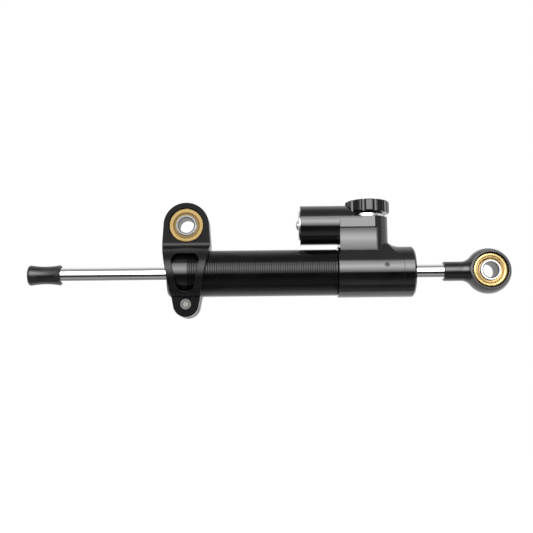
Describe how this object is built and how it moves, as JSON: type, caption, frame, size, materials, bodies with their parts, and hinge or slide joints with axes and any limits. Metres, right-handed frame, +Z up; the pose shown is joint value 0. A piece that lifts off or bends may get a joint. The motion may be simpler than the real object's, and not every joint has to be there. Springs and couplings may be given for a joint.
{
  "type": "steering damper",
  "caption": "Adjustable linear steering damper with a through rod, side reservoir, damping knob, sliding barrel clamp and spherical bearings for fixing bolts.",
  "frame": {"origin": "centre of the ball in the clamp's bearing", "axes": "+X along the piston rod from the clamp towards the rod end; +Y along both bearing bores, away from the side with the clamp bolt's head; +Z up through the adjuster knob"},
  "size_m": [0.2556, 0.0306, 0.0608],
  "materials": {
    "anodised": "satin black anodised",
    "polished": "polished",
    "plain_aluminium": "machined",
    "hard_chrome": "ground and polished",
    "bright_steel": "ground",
    "screw_steel": "zinc plated",
    "black_steel": "satin black oxide",
    "race_brass": "gold coloured, turned",
    "bush_bronze": "turned",
    "black_rubber": "matte",
    "ptfe": "smooth"
  },
  "bodies": {
    "damper": {"barrel_tube": "anodised", "inner_tube": "plain_aluminium", "end_gland": "anodised", "end_gland_ring": "black_rubber", "end_rod_bush": "bush_bronze", "end_rod_seal": "black_rubber", "end_wiper": "black_rubber", "head_block": "anodised", "head_gland": "anodised", "head_gland_ring": "black_rubber", "head_rod_bush": "bush_bronze", "head_rod_seal": "black_rubber", "head_wiper": "black_rubber", "bleed_plug": "black_steel", "reservoir_plug": "polished", "reservoir_plug_ring": "black_rubber", "fill_screw": "screw_steel", "adjuster_collar": "polished", "detent_pin": "bright_steel", "detent_spring": "bright_steel"},
    "rod": {"piston_rod": "hard_chrome", "piston": "plain_aluminium", "piston_ring": "ptfe", "piston_circlips": "bright_steel", "rod_cap": "black_rubber"},
    "rod_end": {"rod_end_eye": "black_steel", "rod_end_race": "race_brass"},
    "rod_end_ball": {"rod_end_ball": "bright_steel"},
    "clamp": {"clamp_bracket": "anodised", "clamp_race": "race_brass", "clamp_bolt": "screw_steel"},
    "clamp_ball": {"clamp_ball": "bright_steel"},
    "knob": {"adjuster_knob": "anodised", "knob_screw": "screw_steel", "adjuster_stem": "bright_steel", "stem_ring": "black_rubber"},
    "needle": {"needle_valve": "bright_steel"},
    "compensator": {"floating_piston": "plain_aluminium", "floating_piston_ring": "black_rubber"}
  },
  "joints": [
    {"name": "rod_slide", "type": "slide", "parent": "damper", "child": "rod", "axis": [1, 0, 0], "range_m": [-0.0155, 0.0565]},
    {"name": "rod_end_turn", "type": "hinge", "parent": "rod", "child": "rod_end", "pos_m": [0.1596, 0, -0.0253], "axis": [1, 0, 0], "continuous": true},
    {"name": "rod_end_swivel", "type": "hinge", "parent": "rod_end", "child": "rod_end_ball", "pos_m": [0.1596, 0, -0.0253], "axis": [0, 1, 0], "continuous": true},
    {"name": "clamp_slide", "type": "slide", "parent": "damper", "child": "clamp", "axis": [1, 0, 0], "range_m": [0, 0.044]},
    {"name": "clamp_swivel", "type": "hinge", "parent": "clamp", "child": "clamp_ball", "pos_m": [0, 0, 0], "axis": [0, 1, 0], "continuous": true},
    {"name": "knob_turn", "type": "hinge", "parent": "damper", "child": "knob", "pos_m": [0.0961, 0, 0], "axis": [0, 0, 1], "range_deg": [-270, 270]},
    {"name": "needle_slide", "type": "slide", "parent": "damper", "child": "needle", "axis": [0, 0, 1], "range_m": [-0.00053, 0.00053]},
    {"name": "compensator_slide", "type": "slide", "parent": "damper", "child": "compensator", "axis": [1, 0, 0], "range_m": [-0.0025, 0.0065]}
  ],
  "couplings": [
    {"joint": "needle_slide", "follows": "knob_turn", "m_per_rad": 0.00011141}
  ]
}
